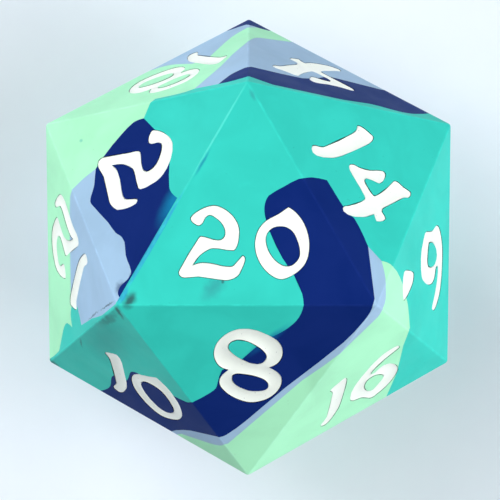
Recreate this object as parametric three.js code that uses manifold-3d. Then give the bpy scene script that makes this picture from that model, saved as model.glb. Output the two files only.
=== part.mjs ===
// A twenty-sided die cast in four swirled colours of silicone, with white ink in its numerals.
// Millimetres, +Z up. The origin is the centre of the die. The 20 faces up and the die rests
// on the 1. +Y points at the corner where the 18 and the 4 meet.
import * as THREE from "three";
import { ConvexGeometry } from "three/addons/geometries/ConvexGeometry.js";
import { mergeVertices } from "three/addons/utils/BufferGeometryUtils.js";
import Module from "manifold-3d";

const wasm = await Module();
wasm.setup();

// ---------------------------------------------------------------- driving dimensions
const CORNER_TO_CORNER = 55; // between two opposite corners
const EDGE_SOFTENING = 0.15; // how far a face stops short of its true edge
const RECESS_DEPTH = 0.8; // numerals, below the face
const INK_SINK = 0.15; // top of the ink, below the face
const INK_CLEARANCE = 0.04; // ink to the walls and floor of its recess
const SEAM_GAP = 0.03; // between two neighbouring colours
const SEAM_LAP = SEAM_GAP / 2; // how far a seam runs on past the middle of the seam it joins
const SEAM_TO_EDGE = 0.25; // a seam that follows an edge of the die keeps this far from it
const SWIRL_START = -5.2; // below this height the colour layers begin to turn
const SWIRL_TURN = -65; // degrees the layers have turned by the lowest face
const SWIRL_STEPS = 5; // straight lifts that make up the turning part of a seam
const GLYPH_TOLERANCE = 0.045; // a glyph's outline stays this close to its smooth curve
const SEAM_TOLERANCE = 0.06; // and a seam to its own
const CURVE_SAMPLES = 8; // points tried on each span of a curve
const SHARPEST_MITRE = 0.4; // cosine of half the turn beyond which a mitre grows no longer
const OVERSHOOT = 0.5; // how far a cutter reaches past the die
const WELD = 1e-4; // corners closer than this are one corner
const PROBE_SIZE = 0.05; // marker that finds a patch of colour
const PROBE_DEPTH = 0.3; // marker below the surface

// ---------------------------------------------------------------- derived sizes
const EDGE = CORNER_TO_CORNER / (2 * Math.sin(THREE.MathUtils.degToRad(72)));
const GOLDEN = (1 + Math.sqrt(5)) / 2;
const CAP_RADIUS = EDGE / Math.sqrt(3); // corners of the top and bottom faces
const BELT_RADIUS = GOLDEN * CAP_RADIUS; // the six corners around the middle
const CAP_HEIGHT = (EDGE * (3 * Math.sqrt(3) + Math.sqrt(15))) / 12;
const BELT_HEIGHT = Math.sqrt((CORNER_TO_CORNER / 2) ** 2 - BELT_RADIUS ** 2);

function corner(radius, degrees, z) {
  const angle = THREE.MathUtils.degToRad(degrees);
  return new THREE.Vector3(radius * Math.cos(angle), radius * Math.sin(angle), z);
}

// The twelve corners, ring by ring from the top.
const CORNERS = {
  A: corner(CAP_RADIUS, 90, CAP_HEIGHT),
  B: corner(CAP_RADIUS, 210, CAP_HEIGHT),
  C: corner(CAP_RADIUS, 330, CAP_HEIGHT),
  D: corner(BELT_RADIUS, 150, BELT_HEIGHT),
  E: corner(BELT_RADIUS, 30, BELT_HEIGHT),
  G: corner(BELT_RADIUS, 270, BELT_HEIGHT),
  T: corner(BELT_RADIUS, 90, -BELT_HEIGHT),
  H: corner(BELT_RADIUS, 210, -BELT_HEIGHT),
  F: corner(BELT_RADIUS, 330, -BELT_HEIGHT),
  P: corner(CAP_RADIUS, 30, -CAP_HEIGHT),
  Q: corner(CAP_RADIUS, 150, -CAP_HEIGHT),
  R: corner(CAP_RADIUS, 270, -CAP_HEIGHT),
};

// ---------------------------------------------------------------- numbering
// Each face: its number, its three corners (the first is where the numeral's top points) and
// its glyphs as [glyph, x, y, scale], measured from the middle of the face.
const FACES = [
  { number: 20, corners: "ABC", glyphs: [["2", -3.9, -1.4, 0.84], ["0", 3.9, -1.4, 0.86]] },
  { number: 14, corners: "ECA", glyphs: [["1", -3.45, -0.2, 1], ["4", 2.67, -0.07, 1]] },
  { number: 2, corners: "ABD", glyphs: [["2", -0.3, 0.4, 1]] },
  { number: 8, corners: "GCB", glyphs: [["8", -0.1, 0.4, 1]] },
  { number: 18, corners: "ADT", glyphs: [["1", -4.2, -1.45, 1], ["8", 1.8, -0.95, 0.93]] },
  { number: 4, corners: "ATE", glyphs: [["4", -0.1, -0.6, 1.2]] },
  { number: 12, corners: "HBD", glyphs: [["1", -3.1, -0.45, 1], ["2", 3.3, -0.4, 0.98]] },
  { number: 10, corners: "BHG", glyphs: [["1", -3.15, -1, 1], ["0", 2.5, -0.95, 1]] },
  { number: 6, corners: "FEC", glyphs: [["6", -1.9, 1.9, 1], ["dot", 5.5, -3.1, 1]] },
  { number: 16, corners: "CGF", glyphs: [["1", -3.1, -1.85, 0.98], ["6", 2.8, -1.4, 0.93]] },
  { number: 1, corners: "RPQ", glyphs: [["1", 0, 0, 1.15]] },
  { number: 7, corners: "HQR", glyphs: [["7", -0.1, 0.3, 1.05]] },
  { number: 19, corners: "RPF", glyphs: [["1", -3.7, -1.3, 0.98], ["9", 2.2, -1.2, 0.93]] },
  { number: 13, corners: "TPQ", glyphs: [["1", -3.7, -1.2, 0.98], ["3", 2.1, -1, 0.95]] },
  { number: 3, corners: "RFG", glyphs: [["3", 0, 0.3, 1.05]] },
  { number: 17, corners: "RHG", glyphs: [["1", -3.7, -1.2, 0.98], ["7", 2.3, -1.1, 0.95]] },
  { number: 9, corners: "EPF", glyphs: [["9", -1.6, 1.2, 1], ["dot", 5.5, -3.3, 1]] },
  { number: 11, corners: "PET", glyphs: [["1", -2.3, -1, 1], ["1", 2.3, -1, 1]] },
  { number: 15, corners: "DHQ", glyphs: [["1", -3.7, -1.2, 0.98], ["5", 2, -1.2, 0.95]] },
  { number: 5, corners: "QTD", glyphs: [["5", -0.1, 0.3, 1.05]] },
];

// ---------------------------------------------------------------- glyph outlines
// Rounded uncial figures about 10 mm tall, around their own middle. The first loop of a glyph
// runs anticlockwise, the others are its counters. [x, y, 1] is a sharp corner.
const SIX = [
  [
    [2.9, 4.5], [2.5, 5.3], [1.4, 5.45], [-0.1, 5], [-1.4, 3.9], [-2.6, 2.3], [-3.4, 0.8],
    [-3.75, -0.7], [-3.7, -1.9], [-3.4, -2.9], [-2.8, -3.35], [-1.9, -3.6], [-1, -4.3],
    [-0.2, -5.15], [0.4, -5.4], [1.3, -5.05], [2.4, -4.4], [3.3, -3.1], [3.7, -1.7],
    [3.5, -0.7], [2.8, 0.6], [2, 1.5], [1.1, 2], [0.3, 1.9], [-0.5, 1.35], [-1, 1.5],
    [-0.7, 2.2], [-0.1, 2.8], [0.9, 3.5], [2.2, 4.1],
  ],
  [
    [-1.6, -0.6], [-1.3, 0.3], [-0.4, 0.5], [0.4, 0.1], [1.1, -0.6], [1.35, -1.3],
    [1, -2.1], [0.4, -2.8], [-0.1, -3.2], [-0.8, -2.7], [-1.3, -1.9],
  ],
];
const GLYPHS = {
  0: [
    [
      [0.8, 4.75, 1], [0.3, 4.35], [-0.5, 3.85], [-2, 3.05], [-2.9, 2.15], [-3.4, 1.15],
      [-3.6, -0.35], [-3.3, -1.85], [-2.5, -3.25], [-1.3, -4.35], [-0.1, -4.75],
      [1.3, -4.25], [2.7, -3.15], [3.4, -1.75], [3.55, -0.05], [3.3, 1.55], [2.6, 3.05],
      [1.7, 4.15],
    ],
    [
      [-2.05, 0.75], [-1.7, 1.5], [-1.1, 1.95], [0, 2.1], [1, 1.75], [1.6, 0.95],
      [2.1, -0.35], [2.2, -1.55], [1.8, -2.35], [0.8, -2.95], [-0.1, -2.75],
      [-1.1, -1.95], [-1.9, -0.55],
    ],
  ],
  1: [
    [
      [0.75, 4.85], [-0.15, 4.4], [-0.95, 3.95], [-1.2, 3.5], [-0.85, 3.1], [-0.68, 2.6],
      [-0.65, 0.2], [-0.65, -1.8], [-0.75, -3.1], [-1.15, -3.7], [-1.35, -4.4],
      [-0.75, -4.85], [-0.15, -4.6], [0.55, -3.5], [1.1, -1.9], [1.2, 0.2], [1.2, 4.3],
    ],
  ],
  2: [
    [
      [-2.95, 3.3], [-2.6, 2.7], [-2.1, 2.35], [-1.6, 2.3], [-1.2, 2.7], [-0.9, 3.3],
      [-0.4, 3.65], [0.1, 3.5], [0.9, 2.9], [1.5, 2.1], [1.65, 1.3], [1.5, 0.8], [1, 0.45],
      [0.3, 0.5], [-0.7, 0.75], [-1.4, 0.95], [-1.8, 0.75], [-2.8, -1], [-3.5, -2.1],
      [-4.1, -3.1], [-4.45, -3.7], [-4.4, -4.3], [-4, -4.6], [-3.2, -4.65], [-2.2, -4.5],
      [-1.2, -4.6], [0.3, -4.85], [1.8, -5], [3, -4.7], [3.6, -4.2], [4, -3.4], [4.3, -2.6],
      [4.4, -1.9], [4, -1.6], [3.6, -2], [3.2, -2.5], [2.7, -3], [1.8, -3.05], [0.6, -2.75],
      [-0.7, -2.6], [-2, -2.65], [-2.5, -2.9, 1], [-2.2, -2.4], [-1.5, -1.6], [-0.6, -1],
      [0.1, -0.75], [1.1, -0.85], [2.1, -1], [2.8, -1.05], [3.2, -0.7], [3.45, 0.1],
      [3.65, 1.3], [3.5, 2.4], [2.8, 3.6], [1.6, 4.6], [0.3, 5.05], [-1.2, 4.7],
      [-2.3, 4],
    ],
  ],
  3: [
    [
      [-2.9, 3.1], [-2.4, 2.5], [-1.7, 2.5], [-1.2, 3.2], [-0.5, 3.6], [0.4, 3.4],
      [1.3, 2.7], [1.5, 2], [1, 1.4], [0.1, 1.1], [-0.8, 0.95], [-1.1, 0.5], [-0.7, 0.05],
      [0.3, -0.2], [1.3, -0.9], [1.8, -1.8], [1.5, -2.6], [0.6, -3.1], [-0.6, -2.9],
      [-1.7, -2.2], [-2.6, -1.8], [-3.3, -2.3], [-3.1, -3.3], [-2.2, -4.3], [-0.9, -4.9],
      [0.6, -4.9], [2.1, -4.3], [3.2, -3.2], [3.6, -1.9], [3.3, -0.7], [2.6, 0.2],
      [1.9, 0.65], [2.7, 1.3], [3.1, 2.2], [2.9, 3.3], [2, 4.4], [0.6, 5], [-0.9, 4.9],
      [-2.2, 4.2],
    ],
  ],
  4: [
    [
      [1.33, 4.87], [0.43, 4.42], [0.18, 3.97], [0.43, 3.07], [0.63, 1.57],
      [0.7, 0.1], [0.4, -0.05], [-1.17, -0.08], [-1.4, 0.1], [-1.27, 0.57], [-0.77, 1.17],
      [-0.35, 1.6], [-0.2, 2], [-0.37, 2.57], [-0.67, 3.17], [-1.17, 3.42], [-1.57, 2.97],
      [-1.87, 2.07], [-2.37, 1.07], [-2.87, 0.37], [-3.57, -0.33], [-3.72, -0.83],
      [-3.37, -1.23], [0.43, -1.38], [0.58, -1.55], [0.58, -2.43], [0.43, -3.93],
      [0.23, -5.13], [0.63, -5.43], [1.23, -5.13], [1.73, -4.53], [2.23, -3.43],
      [2.53, -2.33], [2.57, -1.5], [2.93, -1.58], [3.38, -1.73], [3.63, -1.13],
      [3.73, -0.53], [3.53, -0.13], [2.6, -0.03], [2.48, 2.07], [2.43, 3.87],
      [2.68, 4.87], [2.23, 5.42],
    ],
  ],
  5: [
    [
      [-2.1, 4.7], [-2.3, 3.6], [-2.2, 2], [-2.5, 0.6], [-2.1, 0.1], [-1.4, 0.4],
      [-0.3, 0.7], [0.9, 0.4], [1.7, -0.6], [1.8, -1.8], [1.3, -2.7], [0.3, -3.1],
      [-0.8, -2.8], [-1.8, -2.1], [-2.7, -1.9], [-3.3, -2.5], [-3, -3.5], [-2, -4.4],
      [-0.6, -4.9], [0.9, -4.8], [2.4, -4], [3.4, -2.7], [3.6, -1.2], [3.1, 0.4],
      [2.1, 1.6], [0.8, 2.2], [-0.3, 2.1], [-0.5, 2.4], [-0.4, 3], [0.4, 3.15],
      [1.8, 3.1], [2.7, 3.4], [3.2, 4.2], [3, 5], [2.3, 4.95], [1, 4.8], [-0.7, 4.9],
    ],
  ],
  6: SIX,
  7: [
    [
      [-3.2, 4.3], [-3.4, 3.2], [-3, 2.5], [-2.4, 2.9], [-1.5, 3.3], [0, 3.2], [1.3, 2.9],
      [1.5, 2.4], [0.9, 1.1], [0, -0.5], [-0.8, -2.2], [-1.3, -3.8], [-1.1, -4.7],
      [-0.3, -5], [0.5, -4.6], [0.8, -3.4], [1.4, -1.6], [2.4, 0.3], [3.2, 2],
      [3.6, 3.6], [3.2, 4.7], [2.2, 4.8], [0.6, 4.6], [-1.2, 4.8], [-2.4, 5],
    ],
  ],
  8: [
    [
      [-0.2, 5.4], [-1.1, 5.3], [-2.1, 4.9], [-3.2, 3.9], [-3.75, 2.7], [-3.75, 1.7],
      [-3.2, 0.8], [-2.4, 0.25, 1], [-3.3, -0.3], [-3.8, -1.2], [-3.9, -2.2],
      [-3.5, -3.4], [-2.4, -4.4], [-1.1, -5.1], [0.1, -5.4], [1.3, -5.3], [2.4, -4.7],
      [3.4, -3.6], [3.85, -2.4], [3.9, -1.4], [3.6, -0.4], [2.9, 0.4], [2.3, 0.6, 1],
      [3.1, 1.5], [3.35, 2.3], [3.2, 3], [2.5, 4], [1.3, 4.9],
    ],
    [
      [-2.2, 2.8], [-2, 3.4], [-1.1, 3.65], [0.1, 3.55], [1.1, 3], [1.75, 2.2],
      [1.7, 1.4], [1.3, 1.2], [0.1, 1.35], [-1.1, 1.7], [-1.9, 2.2],
    ],
    [
      [-2, -1.4], [-1.7, -0.6], [-1.1, -0.3], [-0.2, -0.45], [0.9, -1.1], [1.8, -1.9],
      [2.2, -2.7], [2, -3.3], [1.3, -3.7], [0.4, -3.6], [-0.7, -3], [-1.5, -2.3],
    ],
  ],
  9: SIX.map((loop) => loop.map(([x, y]) => [-x, -y])),
  dot: [
    [
      [-1.9, 0.9], [-1.3, 1.6], [1.1, 1.6], [2.2, 1.1], [2.1, 0.3], [1.5, -0.9],
      [0.5, -1.8], [-0.2, -1.4], [-1.2, -0.3],
    ],
  ],
};

// ---------------------------------------------------------------- colour seams, seen from above
// Where the seam that follows the edges A-B and B-H turns from one to the other.
const TURN_OFFSET = SEAM_TO_EDGE * (Math.sqrt(3) - 1);
const EDGE_SEAM_TURN = [CORNERS.B.x - TURN_OFFSET, CORNERS.B.y + TURN_OFFSET];
const SEAMS = {
  // The broad navy band that wraps the front of the teal body.
  bandInner: [
    [8.9, 5.8], [7.4, 6.02], [6, 5.85], [4.9, 5.4], [3.6, 4.6], [2.3, 3.8], [1.9, 2.4],
    [2.2, 0.5], [3, -1.2], [3.8, -2.9], [4.8, -4.3], [5.7, -6], [6.2, -7.4], [6.25, -8.6],
    [5.6, -9.8], [4.6, -10.75], [3.2, -11.45], [1.6, -12.3], [0.4, -13.3], [-0.8, -14.3],
    [-2, -14.9], [-2.9, -15.35], [-3.25, -16.2], [-3.6, -17.3], [-4.8, -18.1], [-6.4, -18.85],
    [-7.4, -18.6], [-9, -17.7], [-11, -16.4], [-12.6, -15.4], [-13.4, -15.25],
    [-13.8, -16], [-14.4, -16.2], [-15.4, -15.4], [-15.8, -15.7], [-15.95, -16.5],
    [-16.6, -16.9], [-18, -17.1], [-22, -19.2], [-26, -21],
  ],
  bandOuter: [
    [8.9, 5.8], [9.7, 4.6], [10.6, 3], [11.2, 2.1], [12, 1.5], [12.8, 0], [13.5, -1.6, 1],
    [13.75, -3.6], [14.05, -6], [14.15, -7.8], [13.6, -9.2], [12.3, -10.8], [10.2, -12.8],
    [8, -14.45], [5.4, -16.3], [3.2, -18.1], [1.2, -19.8], [-0.5, -21.1], [-2.2, -22.3],
    [-3.2, -22.7], [-4.6, -22.3], [-6.6, -21.85], [-8.9, -21.8], [-12, -23], [-16, -26],
  ],
  // A narrow periwinkle ribbon along the band, and the mint beyond it.
  ribbonOuter: [
    [15, -3.2], [15.35, -4.6], [15.5, -6.2], [15.4, -7.8], [14.8, -9.2], [13.4, -10.6],
    [11.6, -12.4], [9.5, -14.2], [7, -15.8], [4.8, -17.5], [2.6, -19.4], [0.6, -21.05],
    [-1, -22.4], [-2.2, -23.35], [-3.2, -23.6], [-4.6, -23.25], [-6.2, -22.7],
    [-8.2, -22.15], [-11, -24], [-14, -27.5],
  ],
  mintOuter: [
    [13.5, -1.6], [14.2, -2.4], [15, -3.2, 1], [15.8, -3.4], [16.6, -4], [17.4, -5.2],
    [18, -6.8], [18.35, -8.8], [18.45, -10.4], [17.9, -11.7], [17.65, -13], [17.3, -14.8],
    [16.6, -16.4], [16.1, -17.6], [15.6, -20], [15, -26],
  ],
  // The left edge of the teal body, along the edges A-B and B-H of the die.
  tealLeft: [
    [-11.8, 13.3, 1], [-11.2, 12.6], [-10.2, 11.6], [-9.2, 10.1], [-8.75, 8.3], [-8.8, 6.2],
    [-8.75, 5], [-8.3, 4.1], [-7.81, 3.67, 1], [-14.23, -7.45, 1],
    [...EDGE_SEAM_TURN, 1],
    [-16.4, -9.18, 1], [-17.4, -9.25], [-18.4, -9.65], [-19.05, -9.9, 1], [-19.2, -9],
    [-19.5, -7.9], [-19.9, -7.4], [-20.3, -7.6, 1], [-20.45, -8.4], [-20.3, -9.3],
    [-20.25, -10, 1], [-20.6, -9.6], [-21, -9.4], [-21.35, -9.8], [-21.65, -11],
    [-21.95, -12.2], [-22.15, -12.5, 1], [-25.6, -14.49, 1], [-30, -17, 1],
  ],
  leftMintNavy: [
    [-11.8, 13.3], [-12.9, 12.95], [-13.9, 12.1], [-15, 10.8], [-16.2, 9.4], [-17.3, 7.7, 1],
    [-18.2, 7.1], [-19.2, 6.2], [-20.1, 5.3], [-20.4, 3], [-20.4, 0], [-20.45, -3],
    [-20.4, -6], [-20.3, -7.6],
  ],
  leftNavyPeriwinkle: [
    [-17.3, 7.7], [-17.35, 6.3], [-17.6, 4.9], [-17.75, 3.6, 1], [-16.8, 2.6], [-15.8, 1.4],
    [-14.9, 0.1], [-14.3, -0.3], [-13.8, -1], [-13.7, -2.2], [-13.4, -3.3], [-12.95, -4.5],
    [-13.3, -5.4], [-14, -6], [-14.4, -6.8], [-14.35, -7.25], [-14.23, -7.45],
  ],
  // Veins at the back, above and below the corner T.
  mintTop: [
    [-11.8, 13.3], [-11.5, 14.1], [-11.15, 14.95], [-10.6, 15.55], [-9.8, 15.75],
    [-8.4, 15.85], [-7.2, 16.1], [-6, 16.5, 1], [-4.8, 16.6], [-3.3, 16.8, 1], [-2, 16.95],
    [-0.9, 17.25], [0.2, 17.5], [1, 17.2], [2, 16.85], [3.2, 16.55], [7, 16.02],
    [10.6, 15.53], [12.2, 15.5], [13.6, 15.4], [14.6, 15.2], [16, 14.87], [17.8, 14.6],
    [18.8, 14.53], [19.8, 14.62], [21, 14.85], [24, 15.6], [29, 17],
  ],
  backNavy: [
    [-3.3, 16.8], [-2.3, 17.8], [-1, 18.6], [0.3, 19.05], [2.4, 18.8], [4.4, 18.4],
    [6.4, 18.2], [7.8, 18.4], [9.2, 19], [10.6, 18.75], [12.2, 18.4], [14, 18.1],
    [16, 17.8], [20, 18], [26, 20],
  ],
  veinInner: [
    [-6, 16.5], [-4.9, 17.7], [-3.7, 18.9], [-2.9, 19.9], [-2.2, 20.9], [-1, 22.2],
    [-0.2, 23.1], [0.5, 23.7], [1.4, 24.05], [3, 24], [5.2, 24], [9, 25], [14, 28],
  ],
  veinOuter: [
    [-18, 24.5], [-14, 21.2], [-11.8, 20.25], [-10.2, 20.7], [-8.6, 20.85], [-6.8, 20.6],
    [-5.2, 20.9], [-4.1, 21.8], [-3.2, 23], [-2.2, 24.1], [-1, 25], [-0.2, 25.55],
    [0.4, 25.6], [1, 25.72],
  ],
  tip: [
    [-7, 28], [-4.6, 25.6], [-2.9, 25.35], [-1.6, 25.75], [-0.4, 26.08], [0.4, 25.95],
    [1, 25.72, 1], [1.8, 25.5], [2.7, 25.45], [4.6, 26], [8, 29],
  ],
};

// ---------------------------------------------------------------- colours and pieces
const COLOURS = {
  teal: "#3fd6c4",
  navy: "#17307a",
  periwinkle: "#a9c8ea",
  mint: "#b0fccd",
  ink: "#f8fbf6",
};

// One piece of silicone for each patch of colour: a spot on top of the patch picks it out.
const PATCHES = [
  { name: "teal_body", colour: "teal", spot: [0, 10] },
  { name: "navy_band", colour: "navy", spot: [9.5, -4] },
  { name: "periwinkle_ribbon", colour: "periwinkle", spot: [14.75, -6] },
  { name: "mint_band", colour: "mint", spot: [2, -25] },
  { name: "navy_left", colour: "navy", spot: [-12, 1.5] },
  { name: "periwinkle_left", colour: "periwinkle", spot: [-16, -1] },
  { name: "mint_left", colour: "mint", spot: [-17.5, 12.5] },
  { name: "periwinkle_shoulder", colour: "periwinkle", spot: [-3.5, 24.3] },
  { name: "periwinkle_back", colour: "periwinkle", spot: [2, 21.5] },
  { name: "navy_back", colour: "navy", spot: [4, 17.6] },
  { name: "navy_tip", colour: "navy", spot: [0, 26.45] },
];

// ---------------------------------------------------------------- curves
// A curve sampled finely, then thinned to the fewest points within the tolerance.
function thin(points, tolerance) {
  const kept = [points[0]];
  const nearest = new THREE.Vector3();
  let from = 0;
  for (let to = 2; to < points.length; to++) {
    const chord = new THREE.Line3(points[from], points[to]);
    const stray = points.slice(from + 1, to).some((p) => {
      chord.closestPointToPoint(p, true, nearest);
      return nearest.distanceTo(p) > tolerance;
    });
    if (stray) {
      from = to - 1;
      kept.push(points[from]);
    }
  }
  kept.push(points.at(-1));
  return kept;
}

// Splits the points at their sharp corners and passes a smooth curve through each run.
function smooth(points, tolerance) {
  const runs = [[]];
  points.forEach(([x, y, sharp], i) => {
    runs.at(-1).push(new THREE.Vector3(x, y, 0));
    const inside = i > 0 && i < points.length - 1;
    if (sharp && inside) {
      runs.push([new THREE.Vector3(x, y, 0)]);
    }
  });
  const path = [];
  for (const run of runs) {
    const curve = new THREE.CatmullRomCurve3(run, false, "centripetal");
    const samples = run.length > 2 ? curve.getPoints((run.length - 1) * CURVE_SAMPLES) : run;
    path.push(...thin(samples, tolerance).slice(path.length ? 1 : 0));
  }
  return path;
}

// The same for a closed outline. One without sharp corners is smooth all the way round.
function smoothLoop(points, scale) {
  const scaled = points.map(([x, y, sharp]) => [x * scale, y * scale, sharp]);
  const first = scaled.findIndex((p) => p[2]);
  if (first >= 0) {
    const turned = [...scaled.slice(first), ...scaled.slice(0, first), scaled[first]];
    return smooth(turned, GLYPH_TOLERANCE).slice(0, -1);
  }
  const run = scaled.map(([x, y]) => new THREE.Vector3(x, y, 0));
  const curve = new THREE.CatmullRomCurve3(run, true, "centripetal");
  return thin(curve.getPoints(run.length * CURVE_SAMPLES), GLYPH_TOLERANCE).slice(0, -1);
}

// Moves every point of a path sideways, to its left, by the same distance.
function shifted(path, distance, closed) {
  const last = path.length - 1;
  return path.map((p, i) => {
    const before = path[i > 0 ? i - 1 : closed ? last : 0];
    const after = path[i < last ? i + 1 : closed ? 0 : last];
    const into = p.clone().sub(before).normalize();
    const out = after.clone().sub(p).normalize();
    const along = into.clone().add(out).normalize();
    const ends = i === 0 || i === last;
    const stretch = ends && !closed ? 1 : 1 / Math.max(SHARPEST_MITRE, along.dot(out));
    const left = new THREE.Vector3(-along.y, along.x, 0);
    return p.clone().addScaledVector(left, distance * stretch);
  });
}

// Both ends pushed on a little, so that a seam always cuts through to the one it joins.
function lengthened(path, distance) {
  const from = path[0].clone().sub(path[1]).setLength(distance).add(path[0]);
  const to = path.at(-1).clone().sub(path.at(-2)).setLength(distance).add(path.at(-1));
  return [from, ...path.slice(1, -1), to];
}

// ---------------------------------------------------------------- solids
function solidFrom(vertProperties, triVerts) {
  return new wasm.Manifold(new wasm.Mesh({ numProp: 3, vertProperties, triVerts }));
}

function solidFromGeometry(geometry) {
  const bare = new THREE.BufferGeometry();
  bare.setAttribute("position", geometry.getAttribute("position"));
  bare.setIndex(geometry.index);
  const merged = mergeVertices(bare, WELD);
  return solidFrom(
    new Float32Array(merged.getAttribute("position").array),
    new Uint32Array(merged.index.array),
  );
}

// The die before its numerals: each of the 20 triangles stops short of its edges, and the
// hull of the triangles bridges them with narrow flats.
function dieBlank() {
  const shrink = 1 - EDGE_SOFTENING / (EDGE / (2 * Math.sqrt(3)));
  const points = FACES.flatMap((face) => {
    const corners = [...face.corners].map((key) => CORNERS[key]);
    const middle = faceMiddle(face);
    return corners.map((p) => p.clone().sub(middle).multiplyScalar(shrink).add(middle));
  });
  return solidFromGeometry(new ConvexGeometry(points));
}

function faceMiddle(face) {
  const sum = new THREE.Vector3();
  [...face.corners].forEach((key) => sum.add(CORNERS[key]));
  return sum.divideScalar(3);
}

// From the plane of a face (x right, y towards its numeral's top, z outwards) to the die.
function faceFrame(face) {
  const middle = faceMiddle(face);
  const out = middle.clone().normalize();
  const up = CORNERS[face.corners[0]].clone().sub(middle).normalize();
  const right = up.clone().cross(out);
  return new THREE.Matrix4().makeBasis(right, up, out).setPosition(middle);
}

// One glyph as an upright slab between two heights, its outline drawn in by inset.
function glyphSlab(face, [glyph, x, y, scale], bottom, top, inset) {
  const loops = GLYPHS[glyph].map((loop, i) => {
    const points = smoothLoop(loop, scale);
    const turn = THREE.ShapeUtils.area(points) > 0 === (i === 0);
    const wound = turn ? points : points.reverse();
    return shifted(wound, inset, true).map((p) => new THREE.Vector2(p.x, p.y));
  });
  const shape = new THREE.Shape(loops[0]);
  shape.holes = loops.slice(1).map((loop) => new THREE.Path(loop));
  const slab = new THREE.ExtrudeGeometry(shape, { depth: top - bottom, bevelEnabled: false });
  slab.translate(x, y, bottom);
  slab.applyMatrix4(faceFrame(face));
  return solidFromGeometry(slab);
}

// Turns a point of the plan with depth, so that the layers swirl below the middle of the die.
function swirled(point, z) {
  const depth = Math.max(0, (SWIRL_START - z) / (SWIRL_START + CAP_HEIGHT));
  const turn = THREE.MathUtils.degToRad(SWIRL_TURN * depth * depth);
  const flat = new THREE.Vector2(point.x, point.y).rotateAround(new THREE.Vector2(), turn);
  return [flat.x, flat.y, z];
}

// A seam as a thin wall through the whole die, following its plan and the swirl.
function seamWall(plan) {
  const path = lengthened(smooth(plan, SEAM_TOLERANCE), SEAM_LAP);
  const left = shifted(path, SEAM_GAP / 2, false);
  const right = shifted(path, -SEAM_GAP / 2, false);
  const levels = [];
  const low = -CAP_HEIGHT - OVERSHOOT;
  for (let i = 0; i <= SWIRL_STEPS; i++) {
    levels.push(low + ((SWIRL_START - low) * i) / SWIRL_STEPS);
  }
  levels.push(CAP_HEIGHT + OVERSHOOT);
  const vertices = [];
  for (const z of levels) {
    path.forEach((_, i) => {
      vertices.push(...swirled(left[i], z), ...swirled(right[i], z));
    });
  }
  const count = path.length;
  const l = (i, k) => 2 * (k * count + i);
  const r = (i, k) => l(i, k) + 1;
  const triangles = [];
  const quad = (a, b, c, d) => triangles.push(a, b, c, a, c, d);
  const top = levels.length - 1;
  for (let k = 0; k < top; k++) {
    for (let i = 0; i < count - 1; i++) {
      quad(r(i, k), r(i + 1, k), r(i + 1, k + 1), r(i, k + 1));
      triangles.push(l(i, k), l(i + 1, k + 1), l(i + 1, k));
      triangles.push(l(i, k), l(i, k + 1), l(i + 1, k + 1));
    }
    quad(l(0, k), r(0, k), r(0, k + 1), l(0, k + 1));
    quad(r(count - 1, k), l(count - 1, k), l(count - 1, k + 1), r(count - 1, k + 1));
  }
  for (let i = 0; i < count - 1; i++) {
    quad(r(i, top), r(i + 1, top), l(i + 1, top), l(i, top));
    quad(l(i, 0), l(i + 1, 0), r(i + 1, 0), r(i, 0));
  }
  return solidFrom(new Float32Array(vertices), new Uint32Array(triangles));
}

// ---------------------------------------------------------------- the assembly
function mesh(name, colour, solid) {
  const { vertProperties, triVerts } = solid.getMesh();
  const geometry = new THREE.BufferGeometry();
  geometry.setAttribute("position", new THREE.BufferAttribute(vertProperties, 3));
  geometry.setIndex(new THREE.BufferAttribute(triVerts, 1));
  const flat = geometry.toNonIndexed();
  flat.computeVertexNormals();
  const silicone = colour !== "ink";
  const material = new THREE.MeshStandardMaterial({
    color: COLOURS[colour],
    roughness: silicone ? 0.45 : 0.6,
    metalness: 0,
  });
  const made = new THREE.Mesh(flat, material);
  made.name = name;
  return made;
}

// The height of the die's upper surface above a point of the plan.
function surfaceHeight(x, y) {
  const heights = FACES.map((face) => faceMiddle(face))
    .filter((middle) => middle.z > 0)
    .map((m) => (m.lengthSq() - m.x * x - m.y * y) / m.z);
  return Math.min(...heights);
}

// The body, among the separate bodies, that lies just under a spot of the upper surface.
function bodyUnder([x, y], bodies) {
  const probe = new THREE.OctahedronGeometry(PROBE_SIZE);
  probe.translate(x, y, surfaceHeight(x, y) - PROBE_DEPTH);
  const tip = solidFromGeometry(probe);
  return bodies.find((body) => body.intersect(tip).volume() > 0);
}

function siliconeMeshes() {
  let silicone = dieBlank();
  for (const face of FACES) {
    for (const glyph of face.glyphs) {
      silicone = silicone.subtract(glyphSlab(face, glyph, -RECESS_DEPTH, OVERSHOOT, 0));
    }
  }
  for (const plan of Object.values(SEAMS)) {
    silicone = silicone.subtract(seamWall(plan));
  }
  const bodies = silicone.decompose();
  return PATCHES.map(({ name, colour, spot }) => mesh(name, colour, bodyUnder(spot, bodies)));
}

function inkMeshes() {
  return FACES.flatMap((face) =>
    face.glyphs.map((glyph, i) => {
      const single = face.glyphs.length === 1 || face.glyphs[1][0] === "dot";
      const place = glyph[0] === "dot" ? "_dot" : single ? "" : ["_tens", "_ones"][i];
      const bottom = -RECESS_DEPTH + INK_CLEARANCE;
      const slab = glyphSlab(face, glyph, bottom, -INK_SINK, INK_CLEARANCE);
      return mesh("ink_" + face.number + place, "ink", slab);
    }),
  );
}

const die = new THREE.Group();
die.name = "polyhedral_die";
die.add(...siliconeMeshes(), ...inkMeshes());

export default die;
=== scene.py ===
"""A twenty-sided die of swirled silicone with white paint in its numerals, on a pale table.

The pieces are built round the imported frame. Metres, +Z up, origin at the die's centre; names
that end in _MM are millimetres. Looking down, +X is right and +Y is away from the viewer.
"""

import math

import bmesh
import bpy
import numpy as np
from mathutils import Matrix, Vector, geometry
from mathutils.bvhtree import BVHTree
from mathutils.kdtree import KDTree


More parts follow.
